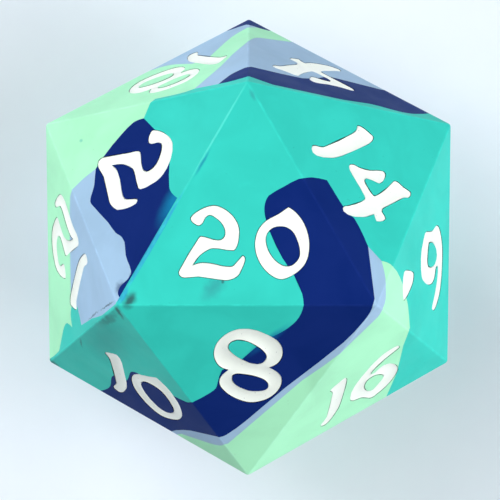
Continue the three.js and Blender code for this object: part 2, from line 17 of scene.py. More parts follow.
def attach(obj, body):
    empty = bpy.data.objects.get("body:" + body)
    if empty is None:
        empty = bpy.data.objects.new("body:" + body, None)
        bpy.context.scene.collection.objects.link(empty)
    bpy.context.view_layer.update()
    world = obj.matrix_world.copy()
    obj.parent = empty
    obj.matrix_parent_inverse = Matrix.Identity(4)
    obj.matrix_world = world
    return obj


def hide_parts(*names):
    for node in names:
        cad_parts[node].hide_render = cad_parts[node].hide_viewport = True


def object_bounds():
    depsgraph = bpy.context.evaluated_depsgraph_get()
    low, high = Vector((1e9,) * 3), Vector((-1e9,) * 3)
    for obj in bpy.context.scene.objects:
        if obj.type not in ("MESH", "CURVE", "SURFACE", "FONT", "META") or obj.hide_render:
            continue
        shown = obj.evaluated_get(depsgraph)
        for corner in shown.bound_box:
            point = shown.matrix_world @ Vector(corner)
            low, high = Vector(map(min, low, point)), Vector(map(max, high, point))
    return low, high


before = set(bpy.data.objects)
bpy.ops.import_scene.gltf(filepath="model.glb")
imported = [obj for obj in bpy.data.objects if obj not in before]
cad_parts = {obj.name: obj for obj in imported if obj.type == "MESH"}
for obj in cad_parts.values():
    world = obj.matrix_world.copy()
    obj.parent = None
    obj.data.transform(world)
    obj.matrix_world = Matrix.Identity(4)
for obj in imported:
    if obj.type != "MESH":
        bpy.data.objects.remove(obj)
cad_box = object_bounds()

MM = 0.001

# ---------------------------------------------------------------- the die, from its height
HEIGHT = cad_box[1].z - cad_box[0].z  # between two opposite faces
INRADIUS = HEIGHT / 2
EDGE = 6 * HEIGHT / (3 * math.sqrt(3) + math.sqrt(15))
CAP_RADIUS = EDGE / math.sqrt(3)
BELT_RADIUS = CAP_RADIUS * (1 + math.sqrt(5)) / 2
CORNER_RADIUS = EDGE * math.sin(math.radians(72))
BELT_HEIGHT = math.sqrt(CORNER_RADIUS**2 - BELT_RADIUS**2)

# ---------------------------------------------------------------- sizes
WELD = 1e-7  # points of a CAD mesh closer than this are one
SAME_PLANE = 2e-6  # a point this close to a plane lies on it
NEAR_PLANE = 5 * SAME_PLANE  # the same for a flat along an edge and for the top of the paint
SAME_WAY = 0.9995  # cosine of the angle between two normals that agree
SEAM_REACH = 0.05 * MM  # two colours closer than this face each other across a seam
SEAM_LIFT = SEAM_REACH / 50  # how far in front of a wall the look across its seam begins
SEAM_ROW = 0.9999  # cosine of the angle between two walls that count as one
SEAM_WEAKEST = 0.12  # a corner stays put where its walls fix it less firmly, as a share
SEAM_MOST = 4  # half gaps that a corner of a seam may move
EDGE_STRIPS = 4  # facets round an edge of the die
WHOLE_CAP = 0.98  # share of its full area above which a corner's cap is whole
SMOOTH_BELOW = math.radians(40)  # recess walls that turn less than this look round
SHARP_TURN = math.radians(62)  # an outline that turns more than this has a corner
TURN_PER_STEP = math.radians(7)  # along a curve of an outline
MOST_STEPS = 6  # between two points of an outline
SAME_CORNER = 0.06 * MM  # corners of two colours closer than this are one
MOST_BULGE = 0.05 * MM  # between two points an outline leaves its chord by no more
HERMITE_PEAK = 4 / 27  # highest value of t(1 - t)^2, a tangent's share of a curve
MITRE_LEAST = 0.5  # cosine of half a turn beyond which a mitre grows no longer
INK_SHRINK = 0.035 * MM  # the paint's sides, in from the CAD's, away from the recess walls
INK_RIM = 0.05 * MM  # the paint's brim, below the face
INK_HOLLOW = 0.50 / MM  # curvature of the paint's surface, per metre
INK_RINGS_MM = (0.09, 0.22, 0.38)  # rows of points that follow the paint's outline
INK_RING_STEP = 0.24 * MM  # along those rows
INK_RING_CLEAR = 0.93  # a row's point keeps this share of its depth from every outline
INK_GRID = 0.27 * MM  # points inside those rows
INK_GRID_CLEAR = 0.6  # grid steps between the innermost row and the grid
LEAST_ROW = 6  # points in a row, however short
LEAST_DOUBLE = 1e-16  # twice the smallest area a triangle of the paint is taken to have


def corner(radius, degrees, z):
    angle = math.radians(degrees)
    return Vector((radius * math.cos(angle), radius * math.sin(angle), z))


def die_corners():
    rings = (
        (CAP_RADIUS, INRADIUS, (90, 210, 330)),
        (BELT_RADIUS, BELT_HEIGHT, (30, 150, 270)),
        (BELT_RADIUS, -BELT_HEIGHT, (90, 210, 330)),
        (CAP_RADIUS, -INRADIUS, (30, 150, 270)),
    )
    return [corner(radius, a, z) for radius, z, angles in rings for a in angles]


CORNERS = die_corners()


def neighbours(p, q):
    return math.isclose((p - q).length, EDGE, rel_tol=0.01)


def die_edges():
    pairs = [(p, q) for i, p in enumerate(CORNERS) for q in CORNERS[i + 1 :]]
    return [(p, q) for p, q in pairs if neighbours(p, q)]


def die_face_normals():
    normals = []
    for p, q in EDGES:
        for r in CORNERS:
            if neighbours(p, r) and neighbours(q, r):
                normal = (p + q + r).normalized()
                if all(normal.dot(n) < SAME_WAY for n in normals):
                    normals.append(normal)
    return normals


EDGES = die_edges()
FACE_NORMALS = die_face_normals()
EDGE_NORMALS = [((p + q) / 2).normalized() for p, q in EDGES]
EDGE_RUNS = [(q - p).normalized() for p, q in EDGES]
CORNER_NORMALS = [p.normalized() for p in CORNERS]


# ---------------------------------------------------------------- reading a CAD node
def mesh_of(node):
    bm = bmesh.new()
    bm.from_mesh(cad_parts[node].data)
    bmesh.ops.remove_doubles(bm, verts=bm.verts, dist=WELD)
    bmesh.ops.dissolve_degenerate(bm, dist=WELD / 10, edges=bm.edges)
    bm.normal_update()
    return bm


def facing(normal, normals):
    """The index of the listed normal that this one agrees with, or None."""
    best = max(range(len(normals)), key=lambda i: normal.dot(normals[i]))
    return best if normal.dot(normals[best]) > SAME_WAY else None


def part_of_die(face, tree):
    """("face" | "edge" | "corner" | "seam" | "recess", which one)."""
    middle = face.calc_center_median()
    i = facing(face.normal, FACE_NORMALS)
    if i is not None and abs(middle.dot(FACE_NORMALS[i]) - INRADIUS) < SAME_PLANE:
        return "face", i
    i = facing(face.normal, EDGE_NORMALS)
    if i is not None and middle.dot(EDGE_NORMALS[i]) > EDGE_LEVEL - NEAR_PLANE:
        return "edge", i
    i = facing(face.normal, CORNER_NORMALS)
    if i is not None and middle.dot(CORNER_NORMALS[i]) > CORNER_LEVEL - NEAR_PLANE:
        return "corner", i
    return ("recess" if across_gap(face, tree) is None else "seam"), 0


# ---------------------------------------------------------------- rounding of the edges
# The CAD bridges every edge with a narrow flat. One radius rounds edges and corners alike:
# a cylinder along each edge and a ball in each corner, all tangent to the faces.
def short_of_edge():
    """How far the frame's topmost face stops short of the true edge of the die."""
    points = [v.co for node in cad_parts.values() for v in node.data.vertices]
    return CAP_RADIUS / 2 - max(-p.y for p in points if p.z > INRADIUS - SAME_PLANE)


EDGE_TURN = math.acos(max(FACE_NORMALS[0].dot(n) for n in FACE_NORMALS[1:]))
CORNER_LEAN = max(CORNER_NORMALS[0].dot(n) for n in FACE_NORMALS)  # a cosine
ROUNDING = short_of_edge() / math.tan(EDGE_TURN / 2)
HALF_FLAT = ROUNDING * math.sin(EDGE_TURN / 2)
AXIS_LEVEL = (INRADIUS - ROUNDING) / math.cos(EDGE_TURN / 2)  # cylinder axes, from the centre
EDGE_LEVEL = AXIS_LEVEL + ROUNDING * math.cos(EDGE_TURN / 2)  # the flats along the edges
BALL_LEVEL = (INRADIUS - ROUNDING) / CORNER_LEAN  # the balls' centres
CORNER_LEVEL = BALL_LEVEL + ROUNDING * CORNER_LEAN  # the flats that cut the corners
FULL_CAP = 5 * HALF_FLAT**2 / math.tan(math.radians(36))  # area of one of those flats


def round_normal(kind, i, point):
    if kind == "corner":
        return (point - CORNER_NORMALS[i] * BALL_LEVEL).normalized()
    out = point - EDGE_NORMALS[i] * AXIS_LEVEL
    return (out - EDGE_RUNS[i] * out.dot(EDGE_RUNS[i])).normalized()


def round_edges(bm, kinds):
    """Cuts the flats into strips and moves their points out to the rounding."""
    layer = bm.faces.layers.int.get("part")
    for i, (normal, run) in enumerate(zip(EDGE_NORMALS, EDGE_RUNS)):
        across = run.cross(normal)
        for k in range(1, EDGE_STRIPS):
            flats = [f for f in bm.faces if kinds[f[layer]] == ("edge", i)]
            if not flats:
                break
            offset = HALF_FLAT * (2 * k / EDGE_STRIPS - 1)
            edges = {e for f in flats for e in f.edges}
            verts = {v for f in flats for v in f.verts}
            bmesh.ops.bisect_plane(
                bm,
                geom=flats + list(edges) + list(verts),
                dist=SAME_PLANE / 4,
                plane_co=normal * EDGE_LEVEL + across * offset,
                plane_no=across,
            )
    for i in range(len(CORNER_NORMALS)):
        cap = [f for f in bm.faces if kinds[f[layer]] == ("corner", i)]
        if sum(f.calc_area() for f in cap) > WHOLE_CAP * FULL_CAP:
            joined = bmesh.ops.dissolve_faces(bm, faces=cap)["region"]
            bmesh.ops.poke(bm, faces=joined)
    moved = {}
    for f in bm.faces:
        kind, i = kinds[f[layer]]
        if kind in ("edge", "corner"):
            for v in f.verts:
                moved[v] = (kind, i)
    for v, (kind, i) in moved.items():
        out = round_normal(kind, i, v.co)
        if kind == "corner":
            v.co = CORNER_NORMALS[i] * BALL_LEVEL + out * ROUNDING
        else:
            axis = EDGE_NORMALS[i] * AXIS_LEVEL
            along = EDGE_RUNS[i] * (v.co - axis).dot(EDGE_RUNS[i])
            v.co = axis + along + out * ROUNDING


# ---------------------------------------------------------------- seams between two colours
def silicone_tree(meshes):
    """Every silicone surface in one tree, to look across the seams with."""
    points, polygons = [], []
    for bm in meshes:
        start = len(points)
        bm.verts.index_update()
        points += [v.co.copy() for v in bm.verts]
        polygons += [[start + v.index for v in f.verts] for f in bm.faces]
    return BVHTree.FromPolygons(points, polygons)


def across_gap(face, tree):
    """Distance to another colour in front of a wall, or None."""
    start = face.calc_center_median() + face.normal * SEAM_LIFT
    distance = tree.ray_cast(start, face.normal, SEAM_REACH)[3]
    return None if distance is None else distance + SEAM_LIFT


def close_seams(bm, kinds):
    """Moves every seam wall out by half the gap, so that the colours meet.

    Each corner of a wall moves so that its seam walls go out and its other faces stay level.
    """
    seams = set(faces_of_kind(bm, kinds, "seam"))
    moves = {}
    for v in {v for f in seams for v in f.verts}:
        rows, targets = [], []
        for f in v.link_faces:
            target = HALF_GAP if f in seams else 0.0
            known = zip(rows, targets)
            if not any(abs(f.normal.dot(r)) > SEAM_ROW and t == target for r, t in known):
                rows.append(f.normal.copy())
                targets.append(target)
        move = Vector(np.linalg.lstsq(np.array(rows), np.array(targets), rcond=SEAM_WEAKEST)[0])
        if move.length > SEAM_MOST * HALF_GAP:
            move *= SEAM_MOST * HALF_GAP / move.length
        moves[v] = move
    for v, move in moves.items():
        v.co += move


def seam_gap_from_frame(bm, kinds, tree):
    """The gap that the CAD leaves between two colours, read across a seam."""
    return float(np.median([across_gap(f, tree) for f in faces_of_kind(bm, kinds, "seam")]))


# ---------------------------------------------------------------- shapes in a plane
CDT_INSIDE = 1  # keep the triangles within the outer outlines
CDT_NEAR = 1e-6  # points closer than this are one, mm


def plane_axes(normal):
    right = normal.orthogonal().normalized()
    return right, normal.cross(right)


def crossings(points, starts, ends):
    """How many sides a ray from each point crosses."""
    x, y = points[:, :1], points[:, 1:]
    spans = (starts[:, 1] > y) != (ends[:, 1] > y)
    rise = np.where(ends[:, 1] == starts[:, 1], 1, ends[:, 1] - starts[:, 1])
    slope = (ends[:, 0] - starts[:, 0]) / rise
    return (spans & (x < starts[:, 0] + slope * (y - starts[:, 1]))).sum(1)


def inside(points, loops):
    """True for points within the outlines and outside their counters."""
    ends = np.vstack([np.roll(path, -1, axis=0) for path in loops])
    return crossings(points, np.vstack(loops), ends) % 2 == 1


def tiles(points, sides):
    """Triangles that fill the outlines but not their counters, or None if outlines cross."""
    flat = [Vector(p) / MM for p in points]
    _, _, found, origins, *_ = geometry.delaunay_2d_cdt(flat, sides, [], CDT_INSIDE, CDT_NEAR)
    if any(len(o) != 1 for o in origins):
        return None
    triangles = np.array([[origins[k][0] for k in tri] for tri in found])
    starts, ends = np.array(sides).T
    within = crossings(points[triangles].mean(1), points[starts], points[ends]) % 2 == 1
    return triangles[within].tolist()


# ---------------------------------------------------------------- smooth outlines
# The CAD draws its curves as short chords. A smooth curve is passed through their ends again.
def outline_steps(bm, kinds):
    """{edge between a face of the die and a wall: (which face, what kind of wall)}."""
    layer = bm.faces.layers.int.get("part")
    steps = {}
    for e in bm.edges:
        sides = sorted((kinds[f[layer]] for f in e.link_faces), key=lambda k: k[0] != "face")
        if len(sides) == 2 and sides[0][0] == "face" and sides[1][0] in ("seam", "recess"):
            steps[e] = (sides[0][1], sides[1][0])
    return steps


def next_point(edge, vert, steps):
    """The outline's point before or after this edge, on the side of vert, or None."""
    others = [e for e in vert.link_edges if e is not edge and steps.get(e) == steps[edge]]
    return others[0].other_vert(vert).co if len(others) == 1 else None


def outline_corners(bm, kinds):
    """Points where an outline ends or turns sharply."""
    steps = outline_steps(bm, kinds)
    found = []
    for e in steps:
        for v in e.verts:
            beyond = next_point(e, v, steps)
            into = v.co - e.other_vert(v).co
            if beyond is None or into.angle(beyond - v.co, 0) > SHARP_TURN:
                found.append(v.co.copy())
    return found


def corner_tree(meshes, kinds_of):
    points = [p for node, bm in meshes.items() for p in outline_corners(bm, kinds_of[node])]
    tree = KDTree(len(points))
    for i, p in enumerate(points):
        tree.insert(p, i)
    tree.balance()
    return tree


def tangent(before, middle, after):
    """Unit tangent at the middle one of three points on a smooth curve.

    A long chord is nearly straight, or the CAD would have drawn it as several.
    """
    into, out = middle - before, after - middle
    along = into.normalized() if into.length > out.length else out.normalized()
    found = (into.normalized() * out.length + out.normalized() * into.length).normalized()
    side = found - along * found.dot(along)
    most = MOST_BULGE / HERMITE_PEAK / max(into.length, out.length)
    if side.length > most:
        side *= most / side.length
    return along * math.sqrt(1 - side.length_squared) + side


def tangents(before, a, b, after):
    """Tangents at both ends of the chord a to b. Before or after is None at a corner."""
    chord = b - a
    start = tangent(before, a, b) * chord.length if before is not None else None
    end = tangent(a, b, after) * chord.length if after is not None else None
    if start is None and end is None:
        return chord, chord
    if start is None:
        start = (chord * 3 - end) / 2
    if end is None:
        end = (chord * 3 - start) / 2
    return start, end


def along_curve(before, a, b, after):
    """Points between a and b on a smooth curve, as many as its turn needs."""
    start, end = tangents(before, a, b, after)
    turn = start.angle(b - a, 0) + end.angle(b - a, 0)
    count = min(MOST_STEPS, math.ceil(turn / TURN_PER_STEP))
    points = []
    for k in range(1, count):
        t = k / count
        point = a * (2 * t**3 - 3 * t**2 + 1) + b * (3 * t**2 - 2 * t**3)
        point = point + start * (t**3 - 2 * t**2 + t) + end * (t**3 - t**2)
        points.append(point)
    return points


def smooth_outlines(bm, kinds, corners):
    """Adds the points of the smooth curves to every outline and moves none that is there."""
    steps = outline_steps(bm, kinds)
    plans = []
    for e in steps:
        a, b = e.verts
        near = [corners.find(v.co)[2] < SAME_CORNER for v in (a, b)]
        before = None if near[0] else next_point(e, a, steps)
        after = None if near[1] else next_point(e, b, steps)
        plans.append((e, a, b, along_curve(before, a.co, b.co, after)))
    for e, a, b, points in plans:
        for point in points:
            _, added = bmesh.utils.edge_split(e, a, 0.5)
            added.co = point
            a = added
            e = next(x for x in added.link_edges if b in x.verts)
    retile_faces(bm, kinds)


def retile_faces(bm, kinds):
    """Replaces the triangles of each face of the die by well-shaped ones."""
    layer = bm.faces.layers.int.get("part")
    for i, normal in enumerate(FACE_NORMALS):
        if ("face", i) not in kinds:
            continue
        mark = kinds.index(("face", i))
        old = {f for f in bm.faces if f[layer] == mark}
        edges = {e for f in old for e in f.edges}
        rim = [e for e in edges if sum(f in old for f in e.link_faces) == 1]
        verts = list({v for e in rim for v in e.verts})
        order = {v: k for k, v in enumerate(verts)}
        right, up = plane_axes(normal)
        flat = np.array([(v.co.dot(right), v.co.dot(up)) for v in verts])
        triangles = tiles(flat, [tuple(order[v] for v in e.verts) for e in rim])
        if triangles is None:  # outlines that cross keep the triangles they have
            continue
        bmesh.ops.delete(bm, geom=list(old), context="FACES_ONLY")
        for tri in triangles:
            made = bm.faces.new([verts[k] for k in tri])
            made[layer] = mark
            made.normal_update()
            if made.normal.dot(normal) < 0:
                made.normal_flip()


# ---------------------------------------------------------------- silicone pieces
def tag_parts(bm, tree):
    """Marks each face with the part of the die that it belongs to and lists those parts."""
    layer = bm.faces.layers.int.new("part")
    kinds = []
    index = {}
    for f in bm.faces:
        kind = part_of_die(f, tree)
        if kind not in index:
            index[kind] = len(kinds)
            kinds.append(kind)
        f[layer] = index[kind]
    return kinds


def faces_of_kind(bm, kinds, kind):
    layer = bm.faces.layers.int.get("part")
    return [f for f in bm.faces if kinds[f[layer]][0] == kind]


def wall_normal(face, vert, walls):
    """The normal of a recess wall at one of its corners, smoothed over its neighbours."""
    total = Vector()
    for other in vert.link_faces:
        if other in walls and face.normal.angle(other.normal, 0) < SMOOTH_BELOW:
            total += other.normal * other.calc_area()
    return total.normalized() if total.length else face.normal


def finish_mesh(bm, kinds, name):
    """The mesh with true normals: flat faces, round edges, smooth recess walls.

    Its faces also say whether they are on an edge of the die or in a recess.
    """
    bmesh.ops.recalc_face_normals(bm, faces=bm.faces)
    bmesh.ops.triangulate(bm, faces=[f for f in bm.faces if len(f.verts) > 4])
    bm.normal_update()
    bm.verts.index_update()
    bm.faces.index_update()
    layer = bm.faces.layers.int.get("part")
    walls = set(faces_of_kind(bm, kinds, "recess"))
    normals = []
    marks = {"on_edge": [], "in_recess": []}
    for f in bm.faces:
        kind, i = kinds[f[layer]]
        marks["on_edge"].append(float(kind in ("edge", "corner")))
        marks["in_recess"].append(float(kind == "recess"))
        for v in (loop.vert for loop in f.loops):
            if kind == "face":
                normals.append(FACE_NORMALS[i])
            elif kind == "recess":
                normals.append(wall_normal(f, v, walls))
            elif kind == "seam":
                normals.append(f.normal.copy())
            else:
                normals.append(round_normal(kind, i, v.co))
    bm.faces.layers.int.remove(layer)
    mesh = bpy.data.meshes.new(name)
    bm.to_mesh(mesh)
    mesh.polygons.foreach_set("use_smooth", [True] * len(mesh.polygons))
    mesh.normals_split_custom_set([tuple(n) for n in normals])
    for mark, values in marks.items():
        mesh.attributes.new(mark, "FLOAT", "FACE").data.foreach_set("value", values)
    mesh.validate()
    return mesh


def piece(name, mesh, node, material):
    made = bpy.data.objects.new(name, mesh)
    bpy.context.scene.collection.objects.link(made)
    mesh.materials.append(material)
    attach(made, "root")
    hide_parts(node)


# ---------------------------------------------------------------- paint in the numerals
def own_face(bm):
    """The face of the die that this paint lies in."""
    middle = sum((v.co for v in bm.verts), Vector()) / len(bm.verts)
    return max(FACE_NORMALS, key=middle.dot)


def outlines(bm, normal):
    """The closed outlines of the paint's top, as arrays of points in the face's plane."""
    right, up = plane_axes(normal)
    level = max(v.co.dot(normal) for v in bm.verts) - NEAR_PLANE
    top = {f for f in bm.faces if min(v.co.dot(normal) for v in f.verts) > level}
    follow = {}
    for f in top:
        for loop in f.loops:
            others = [g for g in loop.edge.link_faces if g is not f]
            if not any(g in top for g in others):
                follow[loop.vert] = loop.link_loop_next.vert
    loops = []
    while follow:
        start, current = follow.popitem()
        path = [start]
        while current is not start:
            path.append(current)
            current = follow.pop(current)
        loops.append(np.array([(v.co.dot(right), v.co.dot(up)) for v in path]))
    return loops


def shifted(path, distance):
    """A closed outline moved sideways, to its left, with mitred corners."""
    into = path - np.roll(path, 1, axis=0)
    out = np.roll(path, -1, axis=0) - path
    into /= np.linalg.norm(into, axis=1, keepdims=True)
    out /= np.linalg.norm(out, axis=1, keepdims=True)
    along = into + out
    along /= np.linalg.norm(along, axis=1, keepdims=True)
    stretch = 1 / np.maximum(MITRE_LEAST, (along * out).sum(1, keepdims=True))
    left = np.stack([-along[:, 1], along[:, 0]], 1)
    return path + left * distance * stretch


def rounded(path):
    """A closed outline with a smooth curve through its points, its sharp corners kept."""
    points = [Vector(p) for p in path]
    result = []
    for k, a in enumerate(points):
        before = points[k - 1]
        b, after = (points[(k + step) % len(points)] for step in (1, 2))
        chord = b - a
        if (a - before).angle(chord, 0) >= SHARP_TURN:
            before = None
        if chord.angle(after - b, 0) >= SHARP_TURN:
            after = None
        result += [a, *along_curve(before, a, b, after)]
    return np.array([tuple(p) for p in result])


def resampled(path, step):
    """Points at an even step round a closed outline."""
    closed = np.vstack([path, path[:1]])
    lengths = np.linalg.norm(np.diff(closed, axis=0), axis=1)
    at = np.concatenate([[0], np.cumsum(lengths)])
    count = max(LEAST_ROW, round(at[-1] / step))
    t = np.arange(count) * at[-1] / count
    return np.stack([np.interp(t, at, closed[:, k]) for k in (0, 1)], 1)


def distance_to(points, loops):
    """Distance of every point to the nearest outline."""
    best = np.full(len(points), np.inf)
    for path in loops:
        a, b = path, np.roll(path, -1, axis=0)
        d = b - a
        rel = points[:, None, :] - a[None]
        t = np.clip((rel * d).sum(2) / (d * d).sum(1), 0, 1)
        gap = np.linalg.norm(rel - t[..., None] * d, axis=2)
        best = np.minimum(best, gap.min(1))
    return best


def inner_points(loops):
    """Rows of points that follow the outlines, then a grid in the middle."""
    found = []
    for depth in (d * MM for d in INK_RINGS_MM):
        for path in loops:
            ring = shifted(resampled(path, INK_RING_STEP), depth)
            clear = distance_to(ring, loops) > INK_RING_CLEAR * depth
            found.append(ring[inside(ring, loops) & clear])
    low = np.min([p.min(0) for p in loops], 0)
    high = np.max([p.max(0) for p in loops], 0)
    x, y = np.meshgrid(*(np.arange(low[k], high[k], INK_GRID) for k in (0, 1)))
    x[1::2] += INK_GRID / 2
    grid = np.stack([x.ravel(), y.ravel()], 1)
    grid = grid[inside(grid, loops)]
    deep = INK_RINGS_MM[-1] * MM + INK_GRID_CLEAR * INK_GRID
    found.append(grid[distance_to(grid, loops) > deep])
    return np.vstack(found)


def hollow(points, triangles, rim_count):
    """Depth of a liquid surface that clings to its rim: Poisson's equation on the mesh."""
    n = len(points)
    weight = np.zeros((n, n))
    area = np.zeros(n)
    for tri in triangles:
        p = points[list(tri)]
        double = abs(np.cross(p[1] - p[0], p[2] - p[0]))  # twice the triangle's area
        area[list(tri)] += double / 6  # each corner has a third of it
        for k in range(3):
            i, j = tri[(k + 1) % 3], tri[(k + 2) % 3]
            u, v = p[(k + 1) % 3] - p[k], p[(k + 2) % 3] - p[k]
            cot = max(0.0, u.dot(v) / max(double, LEAST_DOUBLE)) / 2
            weight[i, j] += cot
            weight[j, i] += cot
    free = np.arange(rim_count, n)
    system = np.diag(weight.sum(1)) - weight
    depth = np.zeros(n)
    depth[free] = np.linalg.solve(system[np.ix_(free, free)], area[free] * INK_HOLLOW)
    return depth


def paint_mesh(node, name):
    """Paint that fills its recess nearly to the brim and sags in the middle."""
    bm = mesh_of(node)
    normal = own_face(bm)
    right, up = plane_axes(normal)
    bottom = min(v.co.dot(normal) for v in bm.verts)
    loops = [rounded(shifted(path, INK_SHRINK)) for path in outlines(bm, normal)]
    bm.free()
    edges = []
    for path in loops:
        first, count = len(edges), len(path)
        edges += [(first + i, first + (i + 1) % count) for i in range(count)]
    points = np.vstack([*loops, inner_points(loops)])
    triangles = tiles(points, edges)
    depth = hollow(points, triangles, len(edges))
    return closed_paint(name, points, triangles, depth, (right, up, normal), bottom, edges)


def closed_paint(name, points, triangles, depth, axes, bottom, edges):
    """The sagging top, walls straight down from its rim and a floor under it."""
    right, up, normal = axes
    brim = INRADIUS - INK_RIM

    def place(p, level):
        return right * p[0] + up * p[1] + normal * level

    bm = bmesh.new()
    top = [bm.verts.new(place(p, brim - d)) for p, d in zip(points, depth)]
    for tri in triangles:
        bm.faces.new([top[i] for i in tri])
    base = [bm.verts.new(place(p, bottom)) for p in points[: len(edges)]]
    for a, b in edges:
        bm.faces.new((top[b], top[a], base[a], base[b]))
    for tri in tiles(points[: len(edges)], edges):
        bm.faces.new([base[i] for i in reversed(tri)])
    bmesh.ops.recalc_face_normals(bm, faces=bm.faces)
    for e in bm.edges:
        e.smooth = e.calc_face_angle(0) < SMOOTH_BELOW
    for f in bm.faces:
        f.smooth = True
    mesh = bpy.data.meshes.new(name)
    bm.to_mesh(mesh)
    bm.free()
    return mesh


# ---------------------------------------------------------------- materials
def rgba(red, green, blue):
    return (red, green, blue, 1.0)


def shade(colour, factor, lift=0.0):
    """A colour with its channels multiplied by a factor and raised by a lift."""
    return rgba(*(min(1.0, c * factor + lift) for c in colour[:3]))


WHITE = rgba(1.0, 1.0, 1.0)
RAG_SIZE_MM = 0.8  # of the bites in a stain's outline


class Nodes:
    """Builds one node material. Positions inside it are millimetres in the die's frame."""

    def __init__(self, name):
        self.material = bpy.data.materials.new(name)
        self.material.use_nodes = True
        self.tree = self.material.node_tree
        self.tree.nodes.clear()
        place = self.add("ShaderNodeTexCoord").outputs["Object"]
        self.place = self.vector("SCALE", place, scale=1 / MM)

    def add(self, kind, inputs=None, **settings):
        node = self.tree.nodes.new(kind)
        for key, value in settings.items():
            setattr(node, key, value)
        for key, value in (inputs or {}).items():
            self.put(node.inputs[key], value)
        return node

    def put(self, socket, value):
        if isinstance(value, bpy.types.NodeSocket):
            self.tree.links.new(value, socket)
        else:
            socket.default_value = value

    def vector(self, operation, *values, scale=None):
        node = self.add("ShaderNodeVectorMath", operation=operation)
        for socket, value in zip(node.inputs, values):
            self.put(socket, value)
        if scale is not None:
            self.put(node.inputs["Scale"], scale)
        return node.outputs["Value" if operation == "LENGTH" else "Vector"]

    def math(self, operation, *values):
        node = self.add("ShaderNodeMath", operation=operation)
        for socket, value in zip(node.inputs, values):
            self.put(socket, value)
        return node.outputs[0]

    def noise(self, size_mm, detail, roughness, distortion, shift):
        place = self.vector("ADD", self.place, (shift, shift, shift))
        settings = {
            "Vector": place,
            "Scale": 1 / size_mm,
            "Detail": detail,
            "Roughness": roughness,
            "Distortion": distortion,
        }
        return self.add("ShaderNodeTexNoise", settings).outputs["Fac"]

    def ramp(self, value, low, high, to_low=0.0, to_high=1.0):
        """Rises smoothly from to_low to to_high while the value goes from low to high."""
        settings = {
            "Value": value,
            "From Min": low,
            "From Max": high,
            "To Min": to_low,
            "To Max": to_high,
        }
        node = self.add("ShaderNodeMapRange", settings, interpolation_type="SMOOTHSTEP")
        return node.outputs[0]

    def pattern(self, noise, rise, reach):
        return self.ramp(self.noise(*noise), *rise, *reach)

    def relief(self, layers, strength, depth):
        """The normal of a surface whose height is a sum of noises, each with its share."""
        height = 0.0
        for noise, share in layers:
            height = self.math("ADD", height, self.math("MULTIPLY", self.noise(*noise), share))
        settings = {"Height": height, "Strength": strength, "Distance": depth}
        return self.add("ShaderNodeBump", settings).outputs[0]

    def mix(self, amount, first, second):
        node = self.add("ShaderNodeMix", data_type="RGBA")
        colours = [s for s in node.inputs if s.type == "RGBA"]
        self.put(node.inputs["Factor"], amount)
        self.put(colours[0], first)
        self.put(colours[1], second)
        return [s for s in node.outputs if s.type == "RGBA"][0]

    def attribute(self, name):
        return self.add("ShaderNodeAttribute", attribute_name=name).outputs["Fac"]

    def spot(self, middle, size, turn, soft, rag):
        """1 inside an ellipsoid about a point, falling to 0 at its skin."""
        away = self.vector("SUBTRACT", self.place, middle)
        wobble = self.add(
            "ShaderNodeTexNoise",
            {"Vector": self.place, "Scale": 1 / RAG_SIZE_MM, "Detail": 3.0},
        ).outputs["Color"]
        centred = self.vector("SUBTRACT", wobble, (0.5, 0.5, 0.5))
        away = self.vector("ADD", away, self.vector("SCALE", centred, scale=rag))
        turned = self.add(
            "ShaderNodeVectorRotate",
            {"Vector": away, "Angle": -math.radians(turn)},
            rotation_type="Z_AXIS",
        ).outputs[0]
        inverse = tuple(2 / s for s in size)
        reach = self.vector("LENGTH", self.vector("MULTIPLY", turned, inverse))
        return self.ramp(reach, 1.0, 1.0 - soft)

    def finish(self, colour, roughness, normal, ior, gloss, haze=0.0, haze_tint=WHITE):
        shader = self.add(
            "ShaderNodeBsdfPrincipled",
            {
                "Base Color": colour,
                "Roughness": roughness,
                "Normal": normal,
                "IOR": ior,
                "Specular IOR Level": gloss,
                "Sheen Weight": haze,
                "Sheen Tint": haze_tint,
            },
        )
        self.add("ShaderNodeOutputMaterial", {"Surface": shader.outputs[0]})
        return self.material


SILICONE = {
    "silicone_teal": rgba(0.036, 0.600, 0.508),
    "silicone_navy": rgba(0.0035, 0.0190, 0.154),
    "silicone_periwinkle": rgba(0.345, 0.520, 0.710),
    "silicone_mint": rgba(0.400, 0.872, 0.560),
}
# How much darker the walls and floors of the recesses round the paint are painted: painted
# shade, which draws a dark outline round the numerals.
RECESS_PAINTED_SHADE = {
    "silicone_teal": 0.15,
    "silicone_navy": 0.08,
    "silicone_periwinkle": 0.35,
    "silicone_mint": 0.45,
}
# What the surface turns back: gloss, and a bluish haze seen at a slant.
LUSTRE = {
    "silicone_teal": (0.08, 0.0),
    "silicone_navy": (0.02, 0.05),
    "silicone_periwinkle": (0.08, 0.0),
    "silicone_mint": (0.08, 0.0),
}
HAZE_BLUE = rgba(0.3, 0.6, 1.0)
LIGHTER = (1.06, 0.002)  # factor and lift
DARKER = 0.95
SPECK_SHADE = 0.55
# Tone of the pale edges: partly wear, partly a painted highlight.
WORN_AND_HIGHLIGHT_TONE = (1.28, 0.005)
SILICONE_IOR = 1.41

PAINT = rgba(0.93, 0.985, 0.91)
PAINT_COOL = rgba(0.88, 0.935, 0.875)
PINHOLE = rgba(0.3, 0.33, 0.32)
PAINT_IOR = 1.45
PAINT_ROUGHNESS = 0.5
PAINT_GLOSS = 0.3
PAINT_HAZE = 0.5

